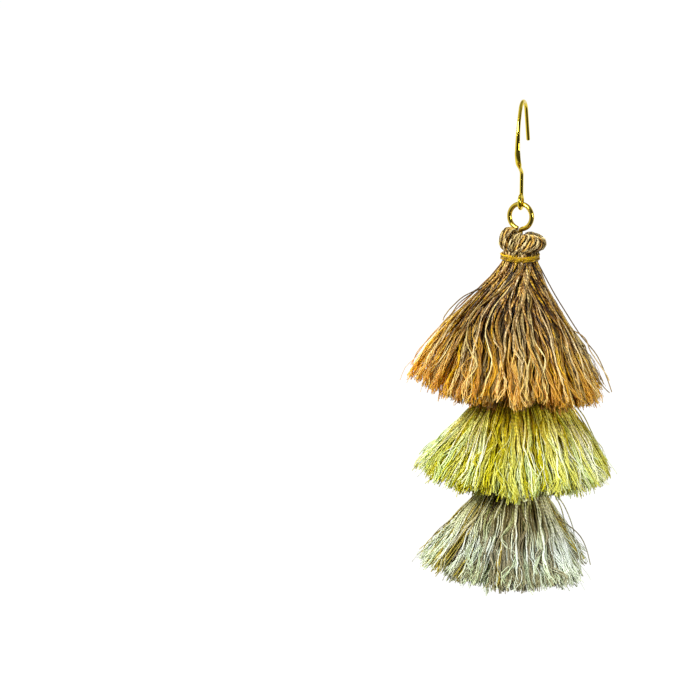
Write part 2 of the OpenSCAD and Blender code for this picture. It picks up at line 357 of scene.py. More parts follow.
# %% Where a yarn runs round the neck
# What uneven() is asked for
STARTS, EDGES, CUTS, BENDS, SWEEPS, BULGES = 0, 3, 6, 9, 12, 15
LOCK_WIDTHS = 0.16
LAYERS = 3
# Degrees that a lock sweeps round the neck, for each tier
SWEEP = (13, 9, 10)
# How far round the neck a yarn starts from where it ends, in degrees, in the directions of REACH
PARTING = np.array((
    (-14, 0, 0, 0, 20, 58, 24, -24),
    (-14, 0, 0, 0, 16, 30, 6, -26),
    (-12, 0, 0, 0, 16, 26, -14, -24),
))
# How much of that each layer does, from the outer one in
PARTED = np.array((1, 0.7, 0.3))
# How far a lock draws together toward its end, where that starts, and over what length
PINCH, PINCH_FROM, PINCH_OVER = 0.24, 0.25, 0.5
# Degrees by which yarns cross at the neck, and locks bend
CROSSING, BENT = 5, 2


def lock_start(tier, i):
    return (i + LOCK_WIDTHS * uneven(i % LOCKS, tier + STARTS)) * 360 / LOCKS


def yarn_angles(tier, rng, lock, depth, s, pinched):
    """Degrees round the axis along each yarn, and those at its end."""
    count = len(lock)
    layer = (np.arange(count) % LAYERS)[:, None]
    start = lock_start(tier, lock)
    width = lock_start(tier, lock + 1) - start
    each = count / LOCKS
    place = ((np.arange(count)[:, None] + rng.uniform(-0.1, 1.1, (count, 1))) % each) / each
    pinch = pinched * np.clip((s - PINCH_FROM) / PINCH_OVER, 0, 1) ** 1.5
    angle = start + width * (0.5 + (place - 0.5) * (1 - pinch))
    hem_angle = angle[:, -1:]
    parted = toward(PARTING[tier], hem_angle) * PARTED[layer] * np.clip(1 - 6 * depth, 0, 1)
    angle = angle + parted * (1 - s) ** 1.5 * np.cos(2.1 * np.pi * s)
    angle = angle + SWEEP[tier] * uneven(lock, tier + SWEEPS) * (1 - s) ** 1.7
    angle = angle + rng.normal(0, CROSSING, (count, 1)) * (1 - s) ** 1.5
    return angle + BENT * uneven(lock, tier + BENDS) * np.sin(3.5 * s), hem_angle


print("locks start at", lock_start(0, np.arange(LOCKS)).round(), "degrees")

# %% How far out it runs
NECK_FACE = 3.1
LAYER_T = 0.38
# In mm: every other lock lies further in, locks end in and out of line, and bulge
STEPPED, EDGED, BULGED = 0.5, 0.3, 0.4


def yarn_radii(tier, lock, depth, s, hem_angle):
    """Radius along each yarn, at its end, and of the hem there."""
    layer = (np.arange(len(lock)) % LAYERS)[:, None]
    hem = toward(REACH[tier], hem_angle) - STEPPED * (lock % 2) + EDGED * uneven(lock, tier + EDGES)
    end = hem * (1 - depth)
    neck = NECK_FACE * (1 - 0.75 * np.minimum(1, depth * 1.6))
    radius = neck + (end - neck) * widened(tier, hem_angle, s) + BULGED * uneven(lock, tier + BULGES) * s
    return radius - LAYER_T * layer * (1 - s) ** 1.3, end, hem


# %% Centre lines of yarns
# Size and length in mm of waves in and out, sideways, and small ones sideways
BUMPS, SWAYS, KINKS = (0.2, 12), (0.5, 12), (0.14, 5)
# By what share locks differ in length, and yarns in a lock
LOCK_CUTS, YARN_CUTS = 0.026, 0.016


def yarn_paths(tier, rng, count, s, depth, loose, pinched=PINCH):
    """Angles and points of yarns at a depth under the skirt's face."""
    lock = (np.arange(count) * LOCKS // count)[:, None]
    angle, hem_angle = yarn_angles(tier, rng, lock, depth, s, pinched)
    radius, end, hem = yarn_radii(tier, lock, depth, s, hem_angle)
    size = loose * rng.lognormal(-0.1, 0.5, (count, 1))
    radius = radius + wave(rng, count, s, *BUMPS) * size
    height = -fall(tier, hem_angle, end, hem) * s
    sideways = wave(rng, count, s, *SWAYS) * size + wave(rng, count, s, *KINKS)
    angle = angle + np.degrees(sideways / np.maximum(radius, 3))
    length = 1 + LOCK_CUTS * uneven(lock, tier + CUTS) + rng.normal(0, YARN_CUTS, (count, 1))
    return angle, to_points(tier, np.radians(angle), radius, height * length)


# %% Fibres of a yarn
# In radians, how far apart a pair lies round the cord, and how far frayed fibres stray
PAIR_TURN, FRAY_TURN = 0.9, 1.1
# Size and length in mm of a fibre's waves, sideways and away from the face
FIBRE_SWAYS, FIBRE_BUMPS = (0.14, 8), (0.08, 8)
FIBRE_CUTS = 0.012


def fibre_paths(rng, paths, s, fibres, cord_r, brush_r, opens, twists):
    """Fibres of each yarn: a cord of twisted pairs down to opens, and from there a loose brush."""
    count = len(paths)
    frayed = np.clip((s - opens) / (1 - opens), 0, 1)[:, None]
    pair = np.arange(fibres) // 2 * 4 * np.pi / fibres + (np.arange(fibres) % 2) * PAIR_TURN
    turn = twists * (np.minimum(s, opens) / opens + 0.3 * frayed[:, 0])
    angle = pair[None, :, None] + 2 * np.pi * (turn + rng.uniform(0, 1, (count, 1)))[:, None]
    angle = angle + frayed * rng.normal(0, FRAY_TURN, (count, fibres, 1))
    share = np.sqrt(rng.uniform(0.05, 1, (count, fibres, 1)))
    radius = cord_r + (brush_r * share - cord_r) * frayed**1.3
    fibre = around_paths(paths, angle, radius)
    side, over = sides_of(fibre)
    stray = np.repeat(0.15 + frayed[:, 0], fibres, axis=0)
    fibre = fibre + (wave(rng, len(fibre), s, *FIBRE_SWAYS) * stray)[..., None] * side
    fibre = fibre + (wave(rng, len(fibre), s, *FIBRE_BUMPS) * stray)[..., None] * over
    trim = 1 + rng.normal(0, FIBRE_CUTS, (len(fibre), 1, 1)) * s[None, :, None]
    return fibre[:, :1] + (fibre - fibre[:, :1]) * trim


def tapered(s, radius):
    """Thread radius, a little thinner at its cut end."""
    return radius * (1 - 0.2 * s**4)[None, :]


def in_the_neck(paths):
    """Starts each path inside the binding, straight above its first point."""
    above = paths[:, :1] + (0, 0, BINDING_H * 0.9)
    return np.concatenate([above, paths], 1)


# %% [markdown]
# ## Which shade a thread has
# The face of a skirt catches the light, and the threads under it get painted shade: darker and deeper in
# colour. A skirt isn't one shade all round, partly in its silk and partly as painted light on one side or
# the other. So a table gives the share of each shade in every direction, and each yarn picks its own from
# that, and a second table paints each side lighter or darker. The plies of a yarn get painted light and
# shade, so that its twist shows.

# %% Bands for the threads
COOL, MAIN, WARM, PALE = range(SHADES)
# Depth on the face, how much deeper it is inside as painted shade, and by how much yarns and fibres differ
FACE_LIGHT, INSIDE_PAINTED_SHADE, YARN_CHANCE, FIBRE_CHANCE = 11.5, 15, 2.2, 1
# Painted light and shade on a yarn's plies, in depths for each pair
PLY_PAINTED_SHADE = np.array((4, 0, -5))
# Share of each shade in per cent, a row each, for each tier, in the directions of REACH. Partly the silk's
# own colour, partly painted light, such as the pale right of the bottom tier
SHARES = np.array((
    (
        (12, 20, 20, 20, 4, 20, 42, 14),
        (50, 50, 50, 45, 30, 50, 42, 46),
        (30, 20, 20, 25, 60, 24, 6, 34),
        (8, 10, 10, 10, 6, 6, 10, 6),
    ),
    (
        (12, 20, 20, 20, 30, 20, 25, 34),
        (30, 40, 45, 45, 50, 42, 32, 26),
        (40, 30, 25, 25, 14, 30, 25, 18),
        (18, 10, 10, 10, 6, 8, 18, 28),
    ),
    (
        (4, 30, 30, 20, 6, 32, 66, 36),
        (14, 35, 35, 40, 34, 42, 26, 32),
        (0, 15, 15, 20, 44, 6, 0, 0),
        (82, 20, 20, 20, 18, 20, 8, 32),
    ),
)) / 100
# Painted light and shade: how many depths lighter the threads are in each of those directions
SIDE_PAINTED_LIGHT = np.array((
    (1, 0, 0, 0, 4, -3, 1, -3),
    (6, 0, 0, 0, 2, -1, -3, 2),
    (9, 0, 0, 0, 3, -3, -7, 0),
))


def band(shade, light):
    """The band of a shade at a depth, where 0 is the deepest."""
    return shade * DEPTHS + light


def pick_bands(rng, tier, angle, depth, fibres):
    """A band for each fibre of each yarn, from the yarn's direction and depth: painted shade for deep
    yarns, and painted light and shade by side and by ply.
    """
    shares = np.stack([toward(row, angle) for row in SHARES[tier]])
    steps = np.cumsum(shares / shares.sum(0), axis=0)
    roll = rng.uniform(0, 1, len(angle))
    shade = np.repeat((roll > steps[:-1]).sum(0), fibres)
    light = FACE_LIGHT + toward(SIDE_PAINTED_LIGHT[tier], angle) - INSIDE_PAINTED_SHADE * depth
    light = np.repeat(light + rng.normal(0, YARN_CHANCE, len(angle)), fibres)
    ply = np.tile(np.arange(fibres) // 2, len(angle))
    light = light + PLY_PAINTED_SHADE[ply % len(PLY_PAINTED_SHADE)] + rng.normal(0, FIBRE_CHANCE, len(light))
    return band(shade, np.clip(light, 0, DEPTHS - 1).round())


print("shades in front of the bottom tier:", SHARES[2, :, 6])

# %% [markdown]
# ## Layers
# Every skirt has a face of neat twisted yarns, an under layer that closes the gaps between them, and a
# fill of short coarse threads that only shows from below. A hidden thread needs fewer points and can
# be thicker, which saves most of the triangles. So do the covered necks of the lower tiers.

# %% Layers of a skirt
# Where a thread has points, how many yarns with how many fibres, and between which depths. Then how
# wavy and pinched they are, the radii in mm of fibre, cord and brush, between which shares of the
# length yarns fray, and their twists above that.
Layer = namedtuple("Layer", "s yarns fibres depths loose pinched thick cord_r brush_r opens twists")
SHOWN_S = np.concatenate([np.linspace(0, 0.64, 27), np.linspace(0.69, 1, 8)])
COVERED_S = np.concatenate([np.linspace(0, 0.16, 2), np.linspace(0.22, 1, 21)])
FACE_S = (SHOWN_S, COVERED_S, COVERED_S)
WAVY = (1, 1.5, 1.5)
OPENS = ((0.35, 0.8), (0.2, 0.6), (0.2, 0.6))
UNDER = ((0.08, 0.2), (0.03, 0.14), (0.03, 0.14))
FRAYED = (0.1, 0.3)


def layers_of(tier):
    """The face, the under layer and the fill."""
    return (
        Layer(FACE_S[tier], 126, 6, (0, 0.06), WAVY[tier], PINCH, 0.1, 0.145, 0.6, OPENS[tier], 5),
        Layer(np.linspace(0.08, 1, 12), 126, 7, UNDER[tier], 0.8, 0.08, 0.11, 0.3, 0.8, FRAYED, 0.6),
        Layer(np.linspace(0.45, 1, 7), 168, 7, (0.16, 0.62), 0.6, 0, 0.125, 0.4, 0.9, FRAYED, 0.6),
    )


def layer_threads(tier, rng, layer):
    s, yarns, fibres = layer.s, layer.yarns, layer.fibres
    depth = rng.uniform(*layer.depths, (yarns, 1))
    angle, paths = yarn_paths(tier, rng, yarns, s, depth, layer.loose, layer.pinched)
    frays = rng.uniform(*layer.opens, (yarns, 1))
    threads = fibre_paths(rng, paths, s, fibres, layer.cord_r, layer.brush_r, frays, layer.twists)
    if s[0] == 0:
        threads = in_the_neck(threads)
        s = np.concatenate([[0], s])
    radii = tapered(s, layer.thick) * rng.uniform(0.85, 1.15, (yarns * fibres, 1))
    bands = pick_bands(rng, tier, angle[:, -1], depth[:, 0] * 2, fibres)
    return Threads(threads, radii, bands, s)


# %% Loose yarns on the face
LOOSE_YARNS, LOOSE_POINTS, LOOSE_R = 30, 26, 0.09
LOOSE_WAVY, LOOSE_LIFT = 1.1, 0.35
LIGHT_DEPTHS = (10, DEPTHS)


def loose_yarns(tier, rng):
    """Two-ply yarns that wave over the face."""
    count, s = LOOSE_YARNS, np.linspace(0, 1, LOOSE_POINTS)
    _, paths = yarn_paths(tier, rng, count, s, np.zeros((count, 1)), LOOSE_WAVY)
    _, over = sides_of(paths)
    lift = LOOSE_LIFT * np.sin(np.pi * np.minimum(1, s * 1.1)) * rng.uniform(0.2, 1.2, (count, 1))
    paths = in_the_neck(paths + lift[..., None] * over)
    s = np.concatenate([[0], s])
    turns = np.outer(rng.uniform(3, 5, count), s)
    plies = ply_paths(paths, 2, LOOSE_R * (0.75 + 0.8 * s**4), turns, rng.uniform(0, 1, count))
    bands = np.repeat(band(rng.choice([MAIN, PALE, PALE], count), rng.integers(*LIGHT_DEPTHS, count)), 2)
    return Threads(plies, tapered(s, LOOSE_R) * np.ones((count * 2, 1)), bands, s)


# %% Skirts
skirts = {}
for tier, name in enumerate(TIERS):
    rng = np.random.default_rng(40 + tier)
    face, under, fill = (layer_threads(tier, rng, layer) for layer in layers_of(tier))
    yarns = loose_yarns(tier, rng)
    skirts[name] = [
        lay_threads(name + "_skirt", [face]),
        lay_threads(name + "_fill", [under, fill]),
        lay_threads(name + "_loose", [yarns]),
    ]

# %% [markdown]
# ## The head
# Over the binding the yarns fold back on themselves and dive into the middle, round the wire, in bundles
# like a row of knuckles. In front they lean far over to the right, while the one at the left stands up and
# the one at the right sticks out. A table gives each bundle its place, and six yarns of three plies wind
# round one bowed path in each. The yarns on a bundle's ridge get lighter silk than those in its grooves,
# and the bundles at the left lighter silk than those at the right: painted highlight and shade, which keeps
# the bundles apart. The plies get painted light and shade too. The lower heads only show from below, so
# their yarn is plainer.

# %% Places of the bundles
# Each bundle's foot and lean to the right in degrees, and its height and reach as shares
KNUCKLES = np.array((
    (184, 8, 1.12, 0.86), (206, 12, 1.3, 0.88), (226, 22, 1.24, 0.92), (244, 48, 1.04, 1),
    (262, 66, 0.98, 1.04), (280, 72, 0.92, 1.08), (300, 60, 0.9, 1.06), (322, 46, 0.84, 1.06),
    (346, 26, 0.84, 1.07), (8, 12, 0.88, 1.08), (38, -12, 0.94, 1.04), (74, -24, 0.98, 1.04),
    (110, 22, 1.04, 1), (148, -18, 1.1, 0.96),
))
# Smaller bundles within, which close the head
CORE = np.array((
    (200, 20, 0.86, 0.74), (250, 40, 0.84, 0.74), (300, 30, 0.8, 0.74), (350, 20, 0.8, 0.74),
    (40, 20, 0.8, 0.74), (95, 30, 0.84, 0.74), (150, 20, 0.86, 0.74),
))
# Height and radius, as shares of the head's, along the fold of a yarn
FOLD = np.array((
    (-0.35, 0.66), (-0.04, 0.68), (0.12, 0.7), (0.22, 0.82), (0.42, 0.92), (0.68, 0.9), (0.88, 0.74),
    (0.93, 0.5), (0.8, 0.3), (0.5, 0.2),
))
# Yarns in a bundle, their plies and points, a ply's radius in mm, and the turns of the twist
Yarn = namedtuple("Yarn", "count plies points ply_r turns")
SHOWN_YARN, PLAIN_YARN = Yarn(6, 3, 50, 0.12, 5.5), Yarn(3, 2, 16, 0.26, 1.5)
HEAD_YARNS = (SHOWN_YARN, PLAIN_YARN, PLAIN_YARN)
print(len(KNUCKLES), "bundles lie round the head, and", len(CORE), "within")

# %% Heads
# Where along a thread its colour is taken: past the neck's and before the cut end's
HEAD_ALONG = (0.63, 0.72)
# Depths of the yarns in outer and inner bundles, the inner ones darker as painted shade
OUTER_DEPTHS, INNER_SHADED_DEPTHS = (2, 13), (1, 5)
# Painted light and shade: how many depths lighter the plies are, the yarns on a ridge, and the bundles at
# the left
HEAD_PLY_PAINTED_SHADE = np.array((6, 0, -10))
RIDGE_PAINTED_LIGHT, LEFT_PAINTED_LIGHT = 3.5, 5
# Thickness in mm of a bundle at its foot, how much it swells, and the turns of its yarns
BUNDLE_R, BUNDLE_SWELL, BUNDLE_TURNS = 0.14, 0.4, 0.6
LEAN_CHANCE = 6


def head_threads(rng, tier, knuckles, yarn, depths):
    """The yarns of a head, wound round their bundles."""
    fold = smooth_curve(FOLD, yarn.points)
    s = np.linspace(0, 1, yarn.points)
    bundle = np.repeat(np.arange(len(knuckles)), yarn.count)
    foot, lean, rise, reach = knuckles[bundle].T[..., None]
    lean = lean + rng.normal(0, LEAN_CHANCE, foot.shape)
    place = np.arange(len(bundle))[:, None] % yarn.count / yarn.count
    rope = 2 * np.pi * (place + rng.uniform(0, 1, len(knuckles))[bundle][:, None] + BUNDLE_TURNS * s)
    swell = BUNDLE_R + BUNDLE_SWELL * np.sin(np.pi * np.clip(s * 1.15, 0, 1))
    bowed = fold[:, 1] * (1 + (reach - 1) * np.sin(np.pi * s) ** 0.5)
    radius = HEAD_R * bowed + swell * np.cos(rope)
    turn = np.radians(foot + lean * (s - 0.12)) + swell * np.sin(rope) / np.maximum(radius, 1)
    up = fold[:, 0] * (1 + (rise - 1) * np.clip(s * 2, 0, 1))
    paths = to_points(tier, turn, radius, BINDING_H + HEAD_H * up)
    turns = yarn.turns * s * rng.uniform(0.85, 1.15, foot.shape)
    threads = ply_paths(paths, yarn.plies, yarn.ply_r, turns, rng.uniform(0, 1, len(bundle)))
    shade = rng.choice([MAIN, COOL, PALE, PALE], len(bundle))
    light = rng.integers(*depths, len(bundle))[:, None] + HEAD_PLY_PAINTED_SHADE[:yarn.plies]
    ridge = np.cos(rope[:, yarn.points // 2])[:, None]
    light = light + RIDGE_PAINTED_LIGHT * ridge - LEFT_PAINTED_LIGHT * np.cos(np.radians(foot - SPREAD_TURN))
    bands = band(shade[:, None], np.clip(light, 0, DEPTHS - 1))
    radii = np.full((1, yarn.points), yarn.ply_r)
    return Threads(threads, radii, bands.ravel(), np.linspace(*HEAD_ALONG, yarn.points))


heads = {}
for tier, name in enumerate(TIERS):
    rng = np.random.default_rng(70 + tier)
    outer = head_threads(rng, tier, KNUCKLES, HEAD_YARNS[tier], OUTER_DEPTHS)
    inner = head_threads(rng, tier, CORE, PLAIN_YARN, INNER_SHADED_DEPTHS)
    heads[name] = lay_threads(name + "_head", [outer, inner])

# %% [markdown]
# ## The bindings
# Gold thread holds each tassel at the neck: a few turns of a three-ply thread, wound a little slack so
# that its turns cross, with both ends tucked under. It is one helix, because separate rings would look
# machined. The one that shows hangs lower in front.

# %% Bindings
WINDING = Yarn(1, 3, 420, 0.125, 44)
WOUND, WOUND_FROM = 3.4, 2.2
WINDING_R = NECK_FACE + 0.32
# Share of the thread that is tucked in at each end, and how far in mm
TUCK, TUCK_IN = 0.03, 0.5
# In mm: how far it wanders out of round, two slow waves up and down, and how low it lies in front
OUT_OF_ROUND, SLACK, SLACK_TOO = 0.06, 0.2, 0.09
FRONT_DROP = (0.3, 0, 0)
FRONT = math.radians(270 + SPREAD_TURN)
BINDING_DEPTHS = (1, 11)


def binding_threads(tier, rng, yarn):
    """The three plies of a tier's binding."""
    s = np.linspace(0, 1, yarn.points)
    angle = (2 * np.pi * WOUND * s + WOUND_FROM)[None]
    tucked = np.clip(1 - s / TUCK, 0, 1) + np.clip((s - (1 - TUCK)) / TUCK, 0, 1)
    radius = WINDING_R + OUT_OF_ROUND * np.sin(2.3 * angle) - TUCK_IN * tucked
    slack = SLACK * np.sin(angle * 0.71 + 1.1) + SLACK_TOO * np.sin(angle * 1.63)
    tilt = FRONT_DROP[tier] * np.cos(angle - FRONT)
    height = 0.26 + (BINDING_H - 0.5) * s + slack * np.sin(np.pi * s) - tilt
    paths = to_points(tier, angle, radius, height)
    threads = ply_paths(paths, yarn.plies, yarn.ply_r * 0.9, yarn.turns * s[None], np.zeros(1))
    bands = band(MAIN, rng.integers(*BINDING_DEPTHS, yarn.plies))
    return Threads(threads, np.full((1, yarn.points), yarn.ply_r), bands, s)


bindings = {}
for tier, name in enumerate(TIERS):
    rng = np.random.default_rng(90 + tier)
    bindings[name] = lay_threads(name + "_binding", [binding_threads(tier, rng, WINDING)])

# %% [markdown]
# ## Strays
# A tassel always has a few threads that left the rest. The clear ones are listed one by one: a direction
# and a few places that the path goes through. The rest are left to chance: short thin fibres that end a
# little beyond the hem and make its edge soft.

# %% Strays that show
STRAY_START = 3.2
# For each tier: direction, shade, how far below the neck it starts, then (radius, below) along it
STRAYS = (
    (
        (17, COOL, 0.5, (6.2, 6), (8.3, 9.4), (11.3, 14), (14.4, 17.8), (16.4, 22.2), (17.3, 24.7)),
        (14, PALE, 0.5, (7.6, 11), (11.9, 14.3), (13.2, 17), (15.9, 20.9), (16.7, 22.4)),
        (19, COOL, 0.5, (7, 10.8), (9.2, 15.1), (12.7, 18.4), (14, 21.4), (15.9, 23.9), (17, 25)),
        (197, COOL, 0.4, (5.6, 3.6), (7.8, 5.5), (10.3, 6.9), (12.4, 8.8), (13.5, 10.2), (14, 11.3)),
        (199, COOL, 0.4, (6, 4.4), (8.4, 6), (11.1, 8), (12.4, 9.9), (14, 11.6)),
        (196, WARM, 0.4, (6, 6.4), (9, 9.9), (12.4, 11), (15.2, 13.7), (16.8, 16.8)),
        (202, WARM, 0.4, (5.4, 4.4), (8.8, 7.6), (11.4, 9.6), (14.2, 12.6), (17.6, 16.6)),
    ),
    (
        (17, COOL, 0.5, (8, 7), (11.5, 11.6), (13, 14.9), (14, 17.9), (15.5, 20.3)),
        (20, PALE, 0.5, (7.6, 7.6), (10.8, 12.1), (12, 15.9), (12.5, 18.4), (14.5, 21.4),
         (16.2, 22.4)),
        (15, COOL, 0.5, (7.8, 6.4), (11.8, 11), (13.4, 14), (14.4, 16), (15.8, 18.6)),
        (196, COOL, 0.5, (6.6, 7.6), (9.4, 11.6), (12.6, 14.1), (15.8, 18.4), (18.3, 21.9)),
        (199, WARM, 0.5, (6.4, 8), (9.6, 12.2), (13.6, 15.8), (16.4, 19.4)),
    ),
    (
        (17, COOL, 0.5, (5.4, 10), (7.4, 13.3), (9.8, 14.9), (12, 17), (13.2, 19.5), (14, 22.5)),
        (15, PALE, 0.5, (6.6, 8), (8.3, 11.5), (9.5, 15.8), (11.5, 19.5), (12.3, 24)),
        (20, PALE, 0.5, (6, 7.6), (8.6, 10.6), (10.4, 14.6), (11.4, 18.6), (12.8, 22)),
        (197, COOL, 0.5, (7, 8.6), (10.2, 12.5), (12.7, 14.1), (15.1, 16.3), (16.3, 18.8)),
        (200, MAIN, 0.5, (6.8, 8.8), (10, 12.8), (13.4, 15.2), (16.6, 18.4)),
    ),
)
STRAY_POINTS, STRAY_R = 28, 0.13
STRAY_DEPTHS = (6, 13)
STRAY_SWAYS = (0.2, 10)


def stray_threads(tier):
    rng = np.random.default_rng(110 + tier)
    s = np.linspace(0, 1, STRAY_POINTS)
    paths, bands = [], []
    for azimuth, shade, start, *places in STRAYS[tier]:
        radius, below = smooth_curve(np.array(((STRAY_START, start), *places)), STRAY_POINTS).T
        angle = np.full_like(radius, math.radians(azimuth))
        paths.append(to_points(tier, angle, radius, -below))
        bands.append(band(shade, rng.integers(*STRAY_DEPTHS)))
    paths = np.stack(paths)
    side, _ = sides_of(paths)
    paths = paths + wave(rng, len(paths), s, *STRAY_SWAYS)[..., None] * side
    return Threads(paths, tapered(s, STRAY_R), np.array(bands), s)


# %% Loose fibres at the hem
FLY_AWAYS, FLY_POINTS, FLY_R = 40, 12, 0.06
FLY_FROM, FLY_WAVY, FLY_ASIDE = 0.55, 1.4, 1.1


def fly_aways(tier, rng):
    """Thin fibres that leave the face low down and end beyond the hem."""
    count, s = FLY_AWAYS, np.linspace(FLY_FROM, 1, FLY_POINTS)
    _, paths = yarn_paths(tier, rng, count, s, np.zeros((count, 1)), FLY_WAVY)
    side, over = sides_of(paths)
    leave = ((s - s[0]) / (1 - s[0])) ** 1.8
    across = rng.normal(0, FLY_ASIDE, (count, 1)) * leave
    lift = rng.uniform(0.1, 1.3, (count, 1)) * leave
    paths = paths + across[..., None] * side + lift[..., None] * over
    paths = paths[:, :1] + (paths - paths[:, :1]) * rng.uniform(0.95, 1.12, (count, 1, 1))
    bands = band(rng.choice([MAIN, COOL, PALE], count), rng.integers(6, DEPTHS, count))
    return Threads(paths, tapered(s, FLY_R) * np.ones((count, 1)), bands, s)


for tier, name in enumerate(TIERS):
    rng = np.random.default_rng(130 + tier)
    skirts[name].append(lay_threads(name + "_strays", [stray_threads(tier), fly_aways(tier, rng)]))

# %% [markdown]
# ## Silk
# Silk shows a narrow soft gleam across each thread, with deep colour between. One node group works out the
# colour for every tassel from the UV map: a thread's band gives its shade, its depth and a little chance of
# its own, and the place along it tints the neck and the cut end. Threads that lie deep get a power of the
# colour, painted bounce light, because light that bounces between threads takes the colour up each time.
# The depths, with their painted light and shade, differ most at the neck, where yarns press on each other.
# Slanting bands of painted highlight and shade make the twist show.

# %% Helpers for nodes
# A node goes into the tree of the outputs that it's given
def add_node(kind, values):
    return next(v for v in values if isinstance(v, bpy.types.NodeSocket)).id_data.nodes.new(kind)


def set_inputs(sockets, values):
    """Sets each socket to a number or a colour, or links an output to it."""
    for socket, value in zip(sockets, values):
        if isinstance(value, bpy.types.NodeSocket):
            socket.id_data.links.new(value, socket)
        else:
            socket.default_value = (*value, 1) if isinstance(value, tuple) else value


def mix(factor, a, b, blend="MIX"):
    node = add_node("ShaderNodeMix", (factor, a, b))
    node.data_type, node.blend_type = "RGBA", blend
    set_inputs([socket for socket in node.inputs if socket.enabled], (factor, a, b))
    return next(socket for socket in node.outputs if socket.enabled)


def calc(operation, *values):
    node = add_node("ShaderNodeMath", values)
    node.operation = operation
    set_inputs(node.inputs, values)
    return node.outputs[0]


def ramp(value, low, high, to_low=0, to_high=1):
    """Smooth from to_low, where a value is at low, to to_high, where it is at high."""
    node = add_node("ShaderNodeMapRange", [value])
    node.interpolation_type = "SMOOTHSTEP"
    set_inputs(node.inputs, (value, low, high, to_low, to_high))
    return node.outputs[0]


def linear(red, green, blue):
    """A colour as a picture shows it, 0 to 255, as the amount of light."""
    return tuple(((c / 255 + 0.055) / 1.055) ** 2.4 if c > 10 else c / 3294 for c in (red, green, blue))


print("mid grey is", round(linear(128, 128, 128)[0], 3), "of full light")

# %% What the map says of a thread
# The lightness about which depths spread, how far at the neck, how that fades toward the cut end, and
# the darkest of all
MIDDLE_LIGHT, SPREAD, SPREAD_FADE, DEEPEST = 0.68, 2.05, -1.65, 0.02


def read_map(tree):
    """A thread's band, shade and lightness, and the places across and along the map."""
    uv, parts = tree.nodes.new("ShaderNodeUVMap"), tree.nodes.new("ShaderNodeSeparateXYZ")
    uv.uv_map = UV_NAME
    tree.links.new(uv.outputs[0], parts.inputs[0])
    across, along = parts.outputs["X"], parts.outputs["Y"]
    own_band = calc("FLOOR", calc("MULTIPLY", across, float(BANDS)))
    shade = calc("FLOOR", calc("DIVIDE", own_band, float(DEPTHS)))
    step = calc("MODULO", own_band, float(DEPTHS))
    light = calc("DIVIDE", step, DEPTHS - 1.0)
    spread = calc("MULTIPLY_ADD", along, SPREAD_FADE, SPREAD)
    past_middle = calc("SUBTRACT", light, MIDDLE_LIGHT)
    light = calc("MULTIPLY_ADD", past_middle, spread, MIDDLE_LIGHT)
    return own_band, shade, calc("MAXIMUM", light, DEEPEST), across, along


# %% Colour of a thread
# Over how much of the length the neck's tint fades, and where the cut end's comes
ROOT_FADE, TIP_FROM, TIP_DONE = 0.45, 0.72, 1
# The power of the colour where no light gets in
DEEP_POWER = 1.9


def thread_color(tree, given, shade, light, root, along):
    """The silk's shade, tinted at both ends, and deeper in colour as painted bounce light where threads lie
    deep.
    """
    color = given.outputs["Cool"]
    for name, edge in (("Main", 0.5), ("Warm", 1.5), ("Pale", 2.5)):
        color = mix(calc("GREATER_THAN", shade, edge), color, given.outputs[name])
    color = mix(root, color, given.outputs["Root"], "MULTIPLY")
    tip = ramp(along, TIP_FROM, TIP_DONE)
    color = mix(tip, color, given.outputs["Tip"], "MULTIPLY")
    deep = tree.nodes.new("ShaderNodeGamma")
    power = calc("MULTIPLY_ADD", light, -1.0, DEEP_POWER)
    set_inputs(deep.inputs, (color, power))
    return deep.outputs[0]


# %% Light and dark along a thread
# How light the lightest threads are, what lifts them all, and what the neck loses of that
LIGHTEST, LIFT, NECK_LOSS = 1.1, 1.12, -0.05
# By how much bands differ, and dye along a thread, with how many patches and their shift by band
BAND_CHANCE, DYE_CHANCE, DYE_PATCHES, DYE_SHIFT = 0.2, 0.6, 22.0, 7.3
END_LIGHT, END_FROM, END_DONE = 0.22, 0.72, 0.95
# Painted highlight and shade of the twist: how many slanting bands, their strength on the brush, what the
# cord adds to that, and where it fades
TWIST_SHADE_TURNS, BRUSH_PAINTED_SHADE, CORD_PAINTED_SHADE, TWIST_SHADE_GONE, TWIST_SHADE_FULL = 40.0, 0.06, 0.32, 0.85, 0.35


def scaled(value, factor, strength, rest):
    """A value times factor * strength + rest."""
    return calc("MULTIPLY", value, calc("MULTIPLY_ADD", factor, strength, rest))


def dye_patches(tree, own_band, along):
    slub, place = tree.nodes.new("ShaderNodeTexNoise"), tree.nodes.new("ShaderNodeCombineXYZ")
    put_in(slub, {"Scale": 1, "Detail": 3})
    tree.links.new(calc("MULTIPLY", own_band, DYE_SHIFT), place.inputs["X"])
    tree.links.new(calc("MULTIPLY", along, DYE_PATCHES), place.inputs["Y"])
    tree.links.new(place.outputs[0], slub.inputs["Vector"])
    return slub.outputs["Fac"]


def twist_painted_shade(across, along):
    """Slanting bands of painted highlight and shade round a thread, fainter where it frays."""
    bands = calc("MULTIPLY", across, float(BANDS))
    turns = calc("MULTIPLY_ADD", along, TWIST_SHADE_TURNS, bands)
    twist_shade = calc("SINE", calc("MULTIPLY", turns, 2 * math.pi))
    tight = ramp(along, TWIST_SHADE_GONE, TWIST_SHADE_FULL)
    return calc("ADD", scaled(twist_shade, tight, CORD_PAINTED_SHADE, BRUSH_PAINTED_SHADE), 1.0)


def thread_value(darkest, light, chance, dye, root, across, along):
    span = calc("SUBTRACT", LIGHTEST, darkest)
    value = calc("MULTIPLY_ADD", light, span, darkest)
    value = scaled(value, chance, BAND_CHANCE, 1 - BAND_CHANCE / 2)
    value = scaled(value, dye, DYE_CHANCE, 1 - DYE_CHANCE / 2)
    value = scaled(value, root, NECK_LOSS, LIFT)
    value = scaled(value, ramp(along, END_FROM, END_DONE), END_LIGHT, 1.0)
    return calc("MULTIPLY", value, twist_painted_shade(across, along))


